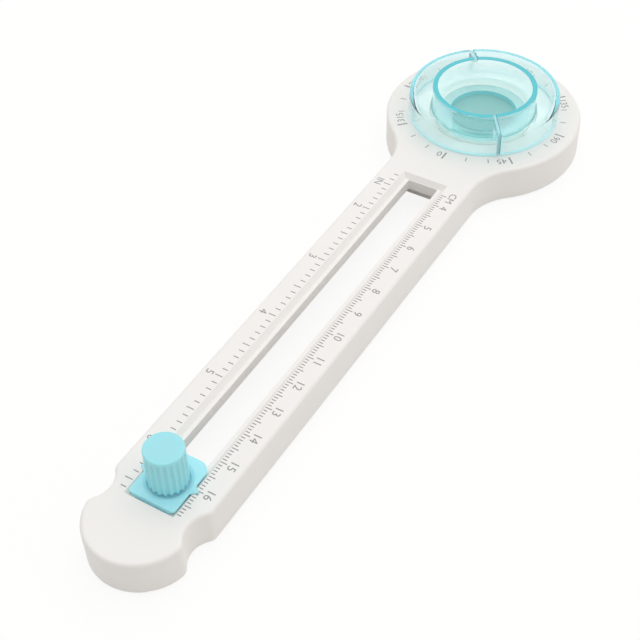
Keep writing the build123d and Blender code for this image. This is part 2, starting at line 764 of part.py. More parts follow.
def coil_point(turn):
    """Centre of the wire, and its direction there, after this many turns."""
    angle = 2 * pi * turn
    climb = spring_length - 2 * spring_wire_radius
    place = Vector(
        knob_x + spring_mean_radius * cos(angle),
        spring_mean_radius * sin(angle),
        sleeve_top_z + spring_wire_radius + climb * turn / spring_turns,
    )
    rise = climb / (2 * pi * spring_turns)
    direction = Vector(-spring_mean_radius * sin(angle), spring_mean_radius * cos(angle), rise)
    return place, direction.normalized()


# Return spring between the sleeve and the clip, wound from pairs of arcs, four pairs to a turn
with BuildPart() as return_spring:
    with BuildLine() as coil:
        for quarter in range(4 * spring_turns):
            start, start_direction = coil_point(quarter / 4)
            end, end_direction = coil_point((quarter + 1) / 4)
            chord = end - start
            both_ways = start_direction + end_direction
            square_term = 4 - both_ways.dot(both_ways)
            half_term = chord.dot(both_ways)
            reach = (sqrt(half_term**2 + square_term * chord.dot(chord)) - half_term) / square_term
            joint = (start + start_direction * reach + end - end_direction * reach) / 2
            TangentArc(start, joint, tangent=start_direction)
            TangentArc(joint, end, tangent=end - end_direction * reach - start - start_direction * reach)
    with BuildSketch(Plane(origin=coil.line @ 0, z_dir=coil.line % 0)):
        Circle(spring_wire_radius)
    sweep()
print(f"return spring: least gap between turns {spring_length / spring_turns - 2 * spring_wire_radius:.2f} mm")

pieces = {
    "arm_shell": arm_shell,
    "arm_cover": arm_cover,
    "cover_screws": cover_screws,
    "glide_feet": glide_feet,
    "turret_dome": turret_dome,
    "turret_base": turret_base,
    "base_pad": base_pad,
    "glide_ring": glide_ring,
    "slider_plate": slider_plate,
    "clamp_sleeve": clamp_sleeve,
    "clamp_shoe": clamp_shoe,
    "shoe_nut": shoe_nut,
    "plunger_stem": plunger_stem,
    "blade_holder": blade_holder,
    "blade": blade,
    "blade_clamp": blade_clamp,
    "blade_screw": blade_screw,
    "knob": knob,
    "knob_clip": knob_clip,
    "drive_bush": drive_bush,
    "return_spring": return_spring,
}
os.makedirs("parts", exist_ok=True)
for name, piece in pieces.items():
    piece.part.label = name
    export_step(piece.part, f"parts/{name}.step")
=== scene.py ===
"""Circle cutter: finishes, clear turret, fluted knob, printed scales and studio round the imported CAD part.

The file is laid out as an add-on. main() registers it and runs its operators in order.
The frame's axes hold throughout: X runs from the turret's axis to the handle, Y across the arm
toward the centimetre scale, and Z up from the cutting surface. Lengths are metres.
"""

import math

import bmesh
import bpy
import numpy as np
from bpy.props import (
    FloatProperty,
    FloatVectorProperty,
    IntProperty,
    PointerProperty,
)
from mathutils import Matrix, Vector


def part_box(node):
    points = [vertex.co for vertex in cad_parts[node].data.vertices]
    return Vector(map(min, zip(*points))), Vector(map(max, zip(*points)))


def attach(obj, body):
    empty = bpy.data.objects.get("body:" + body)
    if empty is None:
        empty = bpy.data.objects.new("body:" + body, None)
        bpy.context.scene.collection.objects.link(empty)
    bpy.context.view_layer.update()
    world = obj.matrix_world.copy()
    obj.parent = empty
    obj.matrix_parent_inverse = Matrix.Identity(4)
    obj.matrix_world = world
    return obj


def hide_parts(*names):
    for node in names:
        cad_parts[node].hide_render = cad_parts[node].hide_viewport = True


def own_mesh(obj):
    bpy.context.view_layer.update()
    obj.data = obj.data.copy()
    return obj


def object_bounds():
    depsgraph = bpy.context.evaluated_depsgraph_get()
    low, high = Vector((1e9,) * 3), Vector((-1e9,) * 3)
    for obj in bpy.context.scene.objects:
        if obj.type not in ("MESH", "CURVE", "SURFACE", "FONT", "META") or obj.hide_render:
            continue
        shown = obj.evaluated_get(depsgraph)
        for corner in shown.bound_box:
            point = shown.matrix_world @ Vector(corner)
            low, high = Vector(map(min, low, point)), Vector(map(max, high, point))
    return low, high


bl_info = {
    "name": "Circle Cutter",
    "version": (1, 0, 0),
    "blender": (4, 5, 0),
    "location": "3D View > Sidebar > Circle Cutter",
    "description": "Finishes, clear turret, fluted knob, printed scales and studio of a circle cutter",
    "category": "Object",
}

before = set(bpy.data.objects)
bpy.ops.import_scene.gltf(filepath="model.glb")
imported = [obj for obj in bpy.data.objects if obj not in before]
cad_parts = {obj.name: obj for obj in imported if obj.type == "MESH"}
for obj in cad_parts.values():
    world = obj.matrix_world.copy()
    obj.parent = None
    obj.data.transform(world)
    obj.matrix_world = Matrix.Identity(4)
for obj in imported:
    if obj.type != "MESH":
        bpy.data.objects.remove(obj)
cad_low, cad_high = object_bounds()

MM = 0.001
INCH = 25.4 * MM


def linear(red, green, blue):
    """Scene-linear colour of a display colour given in steps of 255, by the sRGB curve."""
    steps = np.array((red, green, blue)) / 255
    curve = np.where(steps <= 0.04045, steps / 12.92, ((steps + 0.055) / 1.055) ** 2.4)
    return tuple(float(value) for value in curve)


def length(name, description, default):
    """A length property in metres."""
    return FloatProperty(name=name, description=description, default=default, unit="LENGTH", precision=5)


def angle(name, description, degrees):
    """An angle property, stated in degrees and kept in radians."""
    return FloatProperty(name=name, description=description, default=math.radians(degrees), unit="ROTATION")


def number(name, description, default):
    """A plain number property that is never negative."""
    return FloatProperty(name=name, description=description, default=default, min=0)


def power(name, description, default):
    """A lamp's power in watts."""
    return FloatProperty(name=name, description=description, default=default, min=0, unit="POWER")


def whole_number(name, description, default, least=0):
    """A whole number property with its smallest value."""
    return IntProperty(name=name, description=description, default=default, min=least)


def colour(name, description, default):
    """A colour property in scene-linear values."""
    return FloatVectorProperty(
        name=name, description=description, default=default, subtype="COLOR", size=3, min=0, max=1)


def place(name, description, default):
    """A place or an offset in metres."""
    return FloatVectorProperty(
        name=name, description=description, default=default, subtype="TRANSLATION", size=3)


def upper(node):
    """Highest corner of a CAD node."""
    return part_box(node)[1]


def lower(node):
    """Lowest corner of a CAD node."""
    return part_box(node)[0]


ARM_TOP = upper("arm_shell").z
SKIRT_BOTTOM = lower("turret_dome").z
TURRET_TOP = upper("turret_dome").z
TURRET_RADIUS = upper("turret_dome").x
KNOB_LOW, KNOB_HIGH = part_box("knob")

# The zones of the turret's faces are the numbers of its materials, in the order in which it gets them.
# The window's faces have the clear material too, and an attribute that gives them a darker base colour,
# painted shade for the dark seen through the well's wall there.
CLEAR, CROWN, SKIRT, GROOVE, FOOT, HOLE, WELL, WINDOW = range(8)
WINDOW_ATTRIBUTE = "window"
# How far outside the hole's radius the middle of a face of its wall may lie.
HOLE_MARGIN = 0.02 * MM
# How many of the first corners of the turret's section the index groove lets in.
LET_IN_CORNERS = 4

PLASTIC_IOR = 1.47
# In a finish, the noise that shades the colour is so many times as coarse as the one that moves the
# gloss, and the stops are where the colour starts and ends its run.
CLOUD_COARSENESS = 6
COLOUR_STOPS = (0.3, 0.7)
GLOSS_SPREAD = 0.08
BUMP_HEIGHT = 0.02 * MM

# Points of a CAD node's loose triangles that are nearer than this are one point.
WELD = 1e-6
# Letters are made at a font size of 1: how near two of their points are one, the steps in each curve,
# and half their thickness before they are set between their levels.
LETTER_WELD = 1e-4
LETTER_STEPS = 3
LETTER_HALF_THICKNESS = 0.5

# Every fifth tick of a straight scale is long, and every tenth has a number. On the angle scale a
# tick stands at every 15 degrees, and a bold one with a number at every 45.
LONG_EVERY = 5
NUMBER_EVERY = 10
TICK_DEGREES = 15
BOLD_DEGREES = 45

SENSOR_WIDTH_MM = 36.0
CLIP_START = 0.01
WHITE = (1, 1, 1, 1)


class TurretSizes(bpy.types.PropertyGroup):
    """Sizes of the clear turret."""

    crown_radius: length("Crown radius", "Outer edge of the flat ring on top", 16.2 * MM)
    bore_radius: length("Bore radius", "Inside of the finger well", 14.7 * MM)
    collar_wall: length("Collar wall", "Thickness of the wall round the well", 1.3 * MM)
    wall: length("Wall", "Thickness of the roof and the outer wall", 1.5 * MM)
    rim_gap: length("Rim gap", "Clearance between the outer wall and the arm", 0.4 * MM)
    wall_height: length("Wall height", "Height of the upright outer wall", 7.5 * MM)
    floor_height: length("Floor height", "Top of the well's floor above the arm", 0.4 * MM)
    floor_thickness: length("Floor thickness", "Thickness of the well's floor, clear of the base", 1.77 * MM)
    floor_hole: length("Floor hole radius", "Hole in the well's floor", 10.5 * MM)
    skirt_inside: length("Skirt inside radius", "Inside of the skirt below the well", 15.2 * MM)
    hub_radius: length("Hub radius", "Outside of the skirt below the well", 16.7 * MM)
    hub_step: length("Hub step height", "Height above the arm where the hub narrows to the collar", 1.45 * MM)
    groove_width: length("Groove width", "Width of the index groove", 1.0 * MM)
    groove_depth: length("Groove depth", "Depth of the index groove", 0.5 * MM)
    groove_ease: length("Groove ease", "Half width of the groove's rounded edges", 0.07 * MM)
    groove_angle: angle("Groove angle", "Direction of the index groove from the arm", 37)
    window_start: angle("Window start", "Direction from which the well's window runs to the groove", -13)
    shoulder_radius: length("Shoulder radius", "Round edge between the wall and the roof", 1.5 * MM)
    crown_edge: length("Crown edge radius", "Round edges of the crown and the well", 0.12 * MM)
    floor_round: length("Floor round", "Round corner between the well's wall and its floor", 1.0 * MM)
    roof_round: length("Roof round", "Round corner under the roof, at the outer wall", 0.8 * MM)
    inside_edge: length("Inside edge radius", "Round edges inside the turret", 0.2 * MM)
    columns: whole_number("Columns", "Grid columns between two grooves", 96, 12)
    edge_columns: whole_number("Edge columns", "Grid columns across an edge of the groove", 5, 2)
    bottom_columns: whole_number("Bottom columns", "Grid columns on the groove's bottom", 3, 1)


class KnobSizes(bpy.types.PropertyGroup):
    """Sizes of the fluted knob."""

    flute_count: whole_number("Flutes", "Number of flutes round the knob", 20, 3)
    flute_depth: length("Flute depth", "Depth of a flute", 0.38 * MM)
    flute_radius: length("Flute radius", "Radius of a flute's round bottom", 0.55 * MM)
    flute_drop: length("Flute drop", "Distance of the flutes' upper ends below the top", 0.9 * MM)
    flute_fade: length("Flute fade", "Height over which a flute runs out", 0.35 * MM)
    top_edge: length("Top edge radius", "Round edge of the knob's top", 0.4 * MM)
    hollow_radius: length("Hollow radius", "Inside of the knob", 3.8954 * MM)
    roof: length("Roof", "Thickness of the knob's top", 2.9 * MM)
    foot_edge: length("Foot edge radius", "Round edges of the knob's foot and hollow", 0.15 * MM)
    flute_columns: whole_number("Flute columns", "Grid columns across a flute", 9, 3)
    ridge_columns: whole_number("Ridge columns", "Grid columns across a ridge", 4, 2)
    fade_rows: whole_number("Fade rows", "Grid rows where a flute runs out", 8, 2)


class CentimetreSizes(bpy.types.PropertyGroup):
    """Sizes of the centimetre scale, whose ticks are millimetres."""

    first: whole_number("First tick", "First tick, counted from the zero", 35)
    last: whole_number("Last tick", "Last tick, counted from the zero", 168)
    unit_tick: whole_number("Unit tick", "Tick beside which the unit's letters stand", 35)
    edge: length("Edge", "Distance of the ticks from the arm's middle", 7.45 * MM)
    long_tick: length("Long tick", "Length of the whole and half centimetre ticks", 1.9 * MM)
    short_tick: length("Short tick", "Length of the millimetre ticks", 1.15 * MM)


class InchSizes(bpy.types.PropertyGroup):
    """Sizes of the inch scale, whose ticks are tenths of an inch."""

    first: whole_number("First tick", "First tick, counted from the zero", 13)
    last: whole_number("Last tick", "Last tick, counted from the zero", 66)
    unit_tick: whole_number("Unit tick", "Tick beside which the unit's letters stand", 15)
    edge: length("Edge", "Distance of the ticks from the arm's middle", 7.74 * MM)
    long_tick: length("Long tick", "Length of the whole and half inch ticks", 2.2 * MM)
    short_tick: length("Short tick", "Length of the tenth inch ticks", 1.6 * MM)


class ScaleSizes(bpy.types.PropertyGroup):
    """Sizes that the straight scales share, and those of the angle scale."""

    zero_offset: length("Zero offset", "Distance from the turret's axis to both zeros", 8.6 * MM)
    tick_width: length("Tick width", "Width of the straight scales' ticks", 0.29 * MM)
    digit_height: length("Digit height", "Height of the straight scales' digits", 2.3 * MM)
    digit_gap: length("Digit gap", "Gap between a tick and its digits", 0.5 * MM)
    unit_height: length("Unit height", "Height of the unit letters", 2.2 * MM)
    ring_inner: length("Ring inner radius", "Inner end of the angle ticks", 24.8 * MM)
    ring_minor: length("Ring minor radius", "Outer end of the 15 degree ticks", 26.6 * MM)
    ring_major: length("Ring major radius", "Outer end of the 45 degree ticks", 28.0 * MM)
    ring_width: length("Ring tick width", "Width of the 15 degree ticks", 0.29 * MM)
    ring_bold: length("Ring bold width", "Width of the 45 degree ticks", 0.5 * MM)
    ring_digit: length("Ring digit height", "Height of the angle digits", 2.25 * MM)
    ring_digit_radius: length("Ring digit radius", "Distance of the angle digits from the axis", 26.3 * MM)
    ring_digit_gap: length("Ring digit gap", "Gap between a 45 degree tick and its digits", 0.75 * MM)
    ring_shift: length("Ring shift", "How far the printed ring sits off the axis across the arm", -0.3 * MM)
    digit_aspect: number("Digit aspect", "Width of a digit for its height", 0.86)
    ink_height: length("Ink height", "Height of the ink over the arm", 0.012 * MM)
    ink_depth: length("Ink depth", "How far the ink reaches into the arm", 0.01 * MM)


class Finishes(bpy.types.PropertyGroup):
    """Colours of the finishes, and the light that some of them give off."""

    white: colour("White plastic", "Moulded arm", linear(248, 245, 241))
    glide: colour("Glide plastic", "Slippery feet, ring and bush", linear(238, 238, 235))
    clear: colour("Clear plastic", "Surface tint of the turret", linear(250, 255, 255))
    depth_tint: colour("Depth tint", "Colour that light keeps in thick clear plastic", (0, 0.775, 0.84))
    depth_density: number("Depth density", "How fast clear plastic takes up light, per metre", 62)
    shade_tint: colour("Shade tint", "Light that passes one face of the turret", linear(252, 255, 255))
    # The window's colour is painted shade: a darker base colour for the dark seen through the well's wall
    # there.
    window_tint: colour("Window tint", "Tint of the window in the well's wall", (0.30, 0.64, 0.63))
    # The crown's colour is painted light: a saturated colour on a plain finish stands in for the light that
    # the clear wall leads up and out at the flat ring and along the groove's edges.
    crown: colour("Crown", "Flat ring on top, where light from the wall comes out", linear(88, 205, 216))
    groove: colour("Groove plastic", "Bottom of the index groove", linear(184, 229, 234))
    hole: colour("Hole plastic", "Wall of the hole in the well's floor", linear(168, 236, 241))
    well: colour("Well plastic", "Wall of the well beside its window", linear(238, 252, 251))
    well_glow: number("Well glow", "Light that the well's wall scatters", 0.2)
    skirt: colour("Skirt plastic", "Skirt and under side of the well's floor", linear(232, 244, 240))
    skirt_glow: number("Skirt glow", "Light that the clear wall leads down into the skirt", 0.1)
    foot: colour("Foot plastic", "Foot of the outer wall", linear(206, 243, 247))
    foot_glow: number("Foot glow", "Light that the outer wall leads down to its foot", 0.2)
    frosted: colour("Frosted plastic", "Base under the finger well", linear(123, 170, 168))
    frosted_glow: number("Frosted glow", "Light that the clear floor leads into the base", 0.42)
    pad: colour("Pad rubber", "Soft pad under the turret", linear(96, 172, 176))
    blue: colour("Blue plastic", "Knob, blade holder and clamp shoe", linear(160, 227, 235))
    # The plate's colour is a lighter copy of the knob's blue: painted light, for the brighter look of the
    # plate's lit top.
    plate: colour("Plate blue with painted light", "Slider plate", linear(172, 234, 244))
    blue_glow: number("Blue glow", "Light that both blue plastics scatter in their own shade", 0.06)
    blue_depth: length("Blue depth", "How deep light goes into both blue plastics", 1.5 * MM)
    steel: colour("Steel", "Screws, stem, sleeve and clips", (0.62, 0.62, 0.63))
    blade: colour("Blade steel", "Ground blade and spring", (0.70, 0.71, 0.73))
    brass: colour("Brass", "Clamp nut", (0.71, 0.58, 0.30))
    ink: colour("Ink", "Printed scales", linear(150, 148, 145))
    floor: colour("Floor", "Studio floor", linear(222, 219, 215))


class StudioSizes(bpy.types.PropertyGroup):
    """Camera, light and floor."""

    aim: place("Aim", "Point in the middle of the picture", (0.105543, 0.003386, 0.0116))
    azimuth: angle("Azimuth", "Camera's turn round the part", 122.665)
    elevation: angle("Elevation", "Camera's height over the horizon", 45.357)
    roll: angle("Roll", "Camera's turn about its own axis", 2.018)
    distance: length("Distance", "Distance from the aim to the camera", 0.3411)
    lens: FloatProperty(
        name="Lens", description="Focal length for the sensor's width", default=71.737, unit="CAMERA")
    sky: number("Sky", "Strength of the world's light", 0.64)
    key: power("Key", "Power of the upper lamp", 6.4)
    key_offset: place("Key offset", "Upper lamp's place from the part's middle", (-0.4, -0.05, 1.15))
    key_size: length("Key size", "Side of the upper lamp's square", 1.5)
    side: power("Side", "Power of the side lamp", 0.9)
    side_offset: place("Side offset", "Side lamp's place from the part's middle", (-0.3, 1.1, 0.5))
    side_size: length("Side size", "Side of the side lamp's square", 0.8)
    floor_radius: length("Floor radius", "Radius of the round floor", 2.5)
    floor_sides: whole_number("Floor sides", "Sides of the round floor's edge", 64, 3)
    floor_glow: number("Floor glow", "Share of the floor's white that stands without light", 0.82)
    floor_white: number("Floor white", "Strength of that white, so that the lit floor is plain white", 1.07)


class CutterSettings(bpy.types.PropertyGroup):
    """All settings of the circle cutter."""

    turret: PointerProperty(type=TurretSizes)
    knob: PointerProperty(type=KnobSizes)
    centimetres: PointerProperty(type=CentimetreSizes)
    inches: PointerProperty(type=InchSizes)
    scales: PointerProperty(type=ScaleSizes)
    finishes: PointerProperty(type=Finishes)
    studio: PointerProperty(type=StudioSizes)


def new_node(tree, kind, **inputs):
    """A shader node with its unlinked inputs set by name."""
    node = tree.nodes.new(kind)
    for name, value in inputs.items():
        node.inputs[name.replace("_", " ")].default_value = value
    return node


def socket(sockets, identifier):
    """The socket with an identifier, on a node that has several of one name."""
    return next(entry for entry in sockets if entry.identifier == identifier)


def mixed(tree, share, first, second):
    """A shader socket that runs from the first shader to the second by the share socket."""
    mix = tree.nodes.new("ShaderNodeMixShader")
    tree.links.new(share, mix.inputs["Fac"])
    tree.links.new(first, mix.inputs[1])
    tree.links.new(second, mix.inputs[2])
    return mix.outputs["Shader"]


def shaded(tint, share):
    """A colour multiplied by one share, with full opacity."""
    return (*(min(1.0, value * share) for value in tint), 1)


def finish(name, tint, *, roughness, grain=900, stretch=(1, 1, 1), spread=0.02, bump=0.02, **constants):
    """A procedural material. Its base colour runs between two shades of the tint by a noise in object
    coordinates, a second and finer noise moves the roughness and lifts the surface a little, and
    every other value is a constant on the shader."""
    made = bpy.data.materials.new(name)
    made.use_nodes = True
    tree = made.node_tree
    link = tree.links.new
    shader = tree.nodes["Principled BSDF"]
    coordinates = tree.nodes.new("ShaderNodeTexCoord")
    mapping = new_node(tree, "ShaderNodeMapping", Scale=stretch)
    link(coordinates.outputs["Object"], mapping.inputs["Vector"])
    cloud = new_node(tree, "ShaderNodeTexNoise", Scale=grain / CLOUD_COARSENESS, Detail=2)
    fine = new_node(tree, "ShaderNodeTexNoise", Scale=grain, Detail=3)
    for noise in (cloud, fine):
        link(mapping.outputs["Vector"], noise.inputs["Vector"])
    ramp = tree.nodes.new("ShaderNodeValToRGB")
    for stop, position, share in zip(ramp.color_ramp.elements, COLOUR_STOPS, (1 - spread, 1 + spread)):
        stop.position = position
        stop.color = shaded(tint, share)
    link(cloud.outputs["Fac"], ramp.inputs["Fac"])
    link(ramp.outputs["Color"], shader.inputs["Base Color"])
    gloss = new_node(
        tree, "ShaderNodeMapRange",
        To_Min=roughness * (1 - GLOSS_SPREAD), To_Max=min(1, roughness * (1 + GLOSS_SPREAD)))
    link(fine.outputs["Fac"], gloss.inputs["Value"])
    link(gloss.outputs["Result"], shader.inputs["Roughness"])
    lift = new_node(tree, "ShaderNodeBump", Strength=bump, Distance=BUMP_HEIGHT)
    link(fine.outputs["Fac"], lift.inputs["Height"])
    link(lift.outputs["Normal"], shader.inputs["Normal"])
    for key, value in constants.items():
        shader.inputs[key.replace("_", " ")].default_value = value
    return made


def glowing_finish(name, tint, glow, **looks):
    """A finish that gives off a little light of its own tint."""
    return finish(name, tint, Emission_Color=(*tint, 1), Emission_Strength=glow, **looks)


def blue_finish(name, tint, colours):
    """Blue moulded plastic, in which light spreads sideways and glows a little in the shade."""
    return glowing_finish(
        name, tint, colours.blue_glow, roughness=0.4, spread=0.012, bump=0.05, Subsurface_Weight=0.35,
        Subsurface_Radius=(0.15, 1, 1), Subsurface_Scale=colours.blue_depth)


def clear_finish(name, colours):
    """Clear tinted plastic: a transmitting shader with light taken up by depth, and with painted shade,
    a darker base colour, where the mesh's window attribute is 1. For lamp rays a transparent shader
    stands in, so that light passes the wall without slow caustics."""
    made = finish(
        name, colours.clear, roughness=0.02, spread=0.004, bump=0.003, Transmission_Weight=1, IOR=PLASTIC_IOR)
    tree = made.node_tree
    link = tree.links.new
    shader = tree.nodes["Principled BSDF"]
    output = tree.nodes["Material Output"]
    # Painted shade: the base colour goes over to the darker window colour where the window attribute is 1.
    window = tree.nodes.new("ShaderNodeAttribute")
    window.attribute_name = WINDOW_ATTRIBUTE
    tint = tree.nodes.new("ShaderNodeMix")
    tint.data_type = "RGBA"
    socket(tint.inputs, "B_Color").default_value = (*colours.window_tint, 1)
    link(window.outputs["Fac"], socket(tint.inputs, "Factor_Float"))
    link(shader.inputs["Base Color"].links[0].from_socket, socket(tint.inputs, "A_Color"))
    link(socket(tint.outputs, "Result_Color"), shader.inputs["Base Color"])
    path = tree.nodes.new("ShaderNodeLightPath")
    through = new_node(tree, "ShaderNodeBsdfTransparent", Color=(*colours.shade_tint, 1))
    surface = mixed(tree, path.outputs["Is Shadow Ray"], shader.outputs["BSDF"], through.outputs["BSDF"])
    link(surface, output.inputs["Surface"])
    take_up = new_node(
        tree, "ShaderNodeVolumeAbsorption", Color=(*colours.depth_tint, 1), Density=colours.depth_density)
    link(take_up.outputs["Volume"], output.inputs["Volume"])
    return made


def dress(material, *nodes):
    """Gives CAD nodes a material."""
    for name in nodes:
        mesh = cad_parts[name].data
        mesh.materials.clear()
        mesh.materials.append(material)


def rounded_profile(corners, steps=5, guard=0.03 * MM):
    """Closed outline of (radius, height, round) corners. Each corner becomes an arc that touches both
    of its sides, and a guard point on each side keeps the flats flat under smooth shading: the arc's
    centre lies on the corner's bisector, at the round divided by the sine of half the corner."""
    corners = np.array(corners, float)
    point, size = corners[:, :2], corners[:, 2:]
    back, ahead = np.roll(point, 1, 0) - point, np.roll(point, -1, 0) - point
    back /= np.linalg.norm(back, axis=1, keepdims=True)
    ahead /= np.linalg.norm(ahead, axis=1, keepdims=True)
    half = np.arccos(np.clip((back * ahead).sum(1, keepdims=True), -1, 1)) / 2
    bisector = back + ahead
    bisector /= np.linalg.norm(bisector, axis=1, keepdims=True)
    centre = point + bisector * size / np.sin(half)
    touch = size / np.tan(half)
    first, last = point + back * touch, point + ahead * touch
    start = np.arctan2(*(first - centre).T[::-1])
    turn = np.arctan2(*(last - centre).T[::-1]) - start
    turn = (turn + math.pi) % (2 * math.pi) - math.pi
    heading = start[:, None] + turn[:, None] * np.linspace(0, 1, steps + 1)
    arc = centre[:, None] + size[:, None] * np.stack((np.cos(heading), np.sin(heading)), -1)
    rows = (first + back * guard)[:, None], arc, (last + ahead * guard)[:, None]
    return np.concatenate(rows, axis=1).reshape(-1, 2)


def half_wave(share):
    """Goes from 0 to 1 as the share does, by a half cosine wave."""
    return (1 - np.cos(math.pi * share)) / 2


def grid_faces(rows, columns, ring):
    """Quads of a grid whose columns close, and whose rows close too where ring is set."""
    index = np.arange(rows * columns).reshape(rows, columns)
    beside = np.roll(index, -1, 1)
    above, above_beside = np.roll(index, -1, 0), np.roll(beside, -1, 0)
    quads = np.stack((index, beside, above_beside, above), -1)
    return (quads if ring else quads[:-1]).reshape(-1, 4)


def solid(name, points, faces, materials, body, zones=None):
    """A smooth closed mesh that rides on a body. Its faces are turned round where the sum of the
    tetrahedra from the origin to each face is negative, because they then point inwards. Zones gives
    each face the number of its material."""
    mesh = bpy.data.meshes.new(name)
    mesh.from_pydata(points.tolist(), [], [list(map(int, face)) for face in faces])
    mesh.calc_loop_triangles()
    corners = np.empty(len(mesh.loop_triangles) * 3, int)
    mesh.loop_triangles.foreach_get("vertices", corners)
    a, b, c = points[corners.reshape(-1, 3)].transpose(1, 0, 2)
    if (a * np.cross(b, c)).sum() < 0:
        mesh.flip_normals()
    mesh.shade_smooth()
    for material in materials:
        mesh.materials.append(material)
    if zones is not None:
        mesh.polygons.foreach_set("material_index", zones)
    piece = bpy.data.objects.new(name, mesh)
    bpy.context.collection.objects.link(piece)
    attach(piece, body)
    return piece


def turret_corners(sizes, depth):
    """Corners of the turret's section, with the outside let in by the groove's depth."""
    wall_foot = ARM_TOP + sizes.rim_gap
    shoulder = wall_foot + sizes.wall_height
    floor_top = ARM_TOP + sizes.floor_height
    floor_foot = floor_top - sizes.floor_thickness
    step = ARM_TOP + sizes.hub_step
    collar = sizes.bore_radius + sizes.collar_wall
    outside = TURRET_RADIUS - depth
    slope = (TURRET_TOP - shoulder) / (TURRET_RADIUS - sizes.crown_radius)
    under_roof = TURRET_TOP - sizes.wall * math.hypot(1, slope)
    roof_at_collar = under_roof - slope * (collar - sizes.crown_radius)
    inside = TURRET_RADIUS - sizes.wall
    roof_at_wall = under_roof - slope * (inside - sizes.crown_radius)
    edge, inner = sizes.crown_edge, sizes.inside_edge
    return (
        (outside, wall_foot, edge),
        (outside, shoulder, sizes.shoulder_radius),
        (sizes.crown_radius, TURRET_TOP - depth, edge),
        (sizes.bore_radius, TURRET_TOP - depth, edge),
        (sizes.bore_radius, floor_top, sizes.floor_round),
        (sizes.floor_hole, floor_top, edge),
        (sizes.floor_hole, floor_foot, inner),
        (sizes.skirt_inside, floor_foot, inner),
        (sizes.skirt_inside, SKIRT_BOTTOM, inner),
        (sizes.hub_radius, SKIRT_BOTTOM, inner),
        (sizes.hub_radius, step, inner),
        (collar, step, inner),
        (collar, roof_at_collar, edge),
        (inside, roof_at_wall, sizes.roof_round),
        (inside, wall_foot, inner),
    )


def turret_zones(points, sizes):
    """The zone of each of the turret's faces, by the middle of the face: CROWN is the flat ring on top
    and both edges of the groove, SKIRT the skirt and the floor's under side, GROOVE the groove's
    bottom, FOOT the foot of the outer wall, HOLE the hole's wall, WELL the well's wall beside its
    window, WINDOW that window, and CLEAR the rest. The groove lies within half its width to each
    side of its plane, and only on the faces that look outwards and up."""
    shifts = ((0, 0), (-1, 0), (0, -1), (-1, -1))
    middle = sum(np.roll(points, shift, (0, 1)) for shift in shifts) / len(shifts)
    x, y, height = middle.transpose(2, 0, 1)
    radius, turn = np.hypot(x, y), np.arctan2(y, x)
    aside = abs(y * math.cos(sizes.groove_angle) - x * math.sin(sizes.groove_angle))
    let_in_rows = len(points) * LET_IN_CORNERS // len(turret_corners(sizes, 0)) - 1
    outer = np.arange(len(points))[:, None] < let_in_rows
    floor_foot = ARM_TOP + sizes.floor_height - sizes.floor_thickness
    zones = np.full(radius.shape, CLEAR, np.int32)
    zones[(height > TURRET_TOP - sizes.crown_edge) & (radius > sizes.bore_radius)] = CROWN
    skirt = radius < sizes.hub_radius + sizes.inside_edge
    zones[skirt & (height < floor_foot + sizes.inside_edge / 2)] = SKIRT
    well = (radius > sizes.bore_radius - sizes.floor_round) & (radius < sizes.bore_radius + sizes.crown_edge)
    well &= (height > floor_foot + sizes.floor_thickness / 2) & ~outer
    window = (turn > sizes.window_start) & (turn < sizes.groove_angle)
    zones[well] = WELL
    zones[well & window] = WINDOW
    zones[(radius < sizes.floor_hole + HOLE_MARGIN) & (height > floor_foot)] = HOLE
    zones[outer & (aside < sizes.groove_width / 2 + sizes.groove_ease)] = CROWN
    zones[outer & (aside < sizes.groove_width / 2 - sizes.groove_ease)] = GROOVE
    foot = (radius > TURRET_RADIUS - sizes.wall) & (radius < TURRET_RADIUS - sizes.crown_edge)
    zones[foot & (height < ARM_TOP + sizes.rim_gap + sizes.inside_edge / 2)] = FOOT
    return zones.ravel()


def turret_points(sizes):
    """The turret is its section turned about Z. Near the groove's plane the columns keep a fixed
    sideways distance s, so their angle is the arc sine of s over the radius, and the section goes
    over to the let-in one by a half cosine wave across the groove's edge."""
    plain = rounded_profile(turret_corners(sizes, 0))
    let_in = rounded_profile(turret_corners(sizes, sizes.groove_depth))
    half, ease = sizes.groove_width / 2, sizes.groove_ease
    edge = np.linspace(half - ease, half + ease, sizes.edge_columns)
    bottom = np.linspace(-half / 2, half / 2, sizes.bottom_columns)
    across = np.concatenate((-edge[::-1], bottom, edge))
    inside = np.arcsin(across / plain[:, :1])
    reach = inside[:, -1:]
    outside = reach + (math.pi - 2 * reach) * np.linspace(0, 1, sizes.columns)[1:-1]
    turn = np.concatenate((inside, outside), axis=1)
    turn = np.concatenate((turn, turn + math.pi), axis=1) + sizes.groove_angle
    share = half_wave(np.clip((half + ease - abs(across)) / (2 * ease), 0, 1))
    share = np.concatenate((share, np.zeros(sizes.columns - 2)))
    share = np.tile(share, 2)[None, :, None]
    section = plain[:, None] * (1 - share) + let_in[:, None] * share
    radius, height = section[..., 0], section[..., 1]
    return np.stack((radius * np.cos(turn), radius * np.sin(turn), height), -1)


def flute_turns(sizes, radius):
    """Angles of the knob's columns and how deep the flute is at each. A flute is the near side of a
    circle whose centre lies outside the knob, at a distance c from its axis. At an angle a from that
    centre, the flute lies at c cos a minus the root of the circle's radius squared less (c sin a)
    squared. Columns stand at each flute's edges, with even steps between."""
    reach = radius - sizes.flute_depth + sizes.flute_radius
    edge = math.acos((reach**2 + radius**2 - sizes.flute_radius**2) / (2 * reach * radius))
    pitch = 2 * math.pi / sizes.flute_count
    step = np.concatenate((
        np.linspace(-edge, edge, sizes.flute_columns)[:-1],
        np.linspace(edge, pitch - edge, sizes.ridge_columns)[:-1],
    ))
    inside = np.clip(sizes.flute_radius**2 - (reach * np.sin(step)) ** 2, 0, None)
    cut = np.where(step < edge, radius - reach * np.cos(step) + np.sqrt(inside), 0)
    turn = pitch * np.arange(sizes.flute_count)[:, None] + step
    return turn.ravel(), np.tile(np.clip(cut, 0, None), sizes.flute_count)


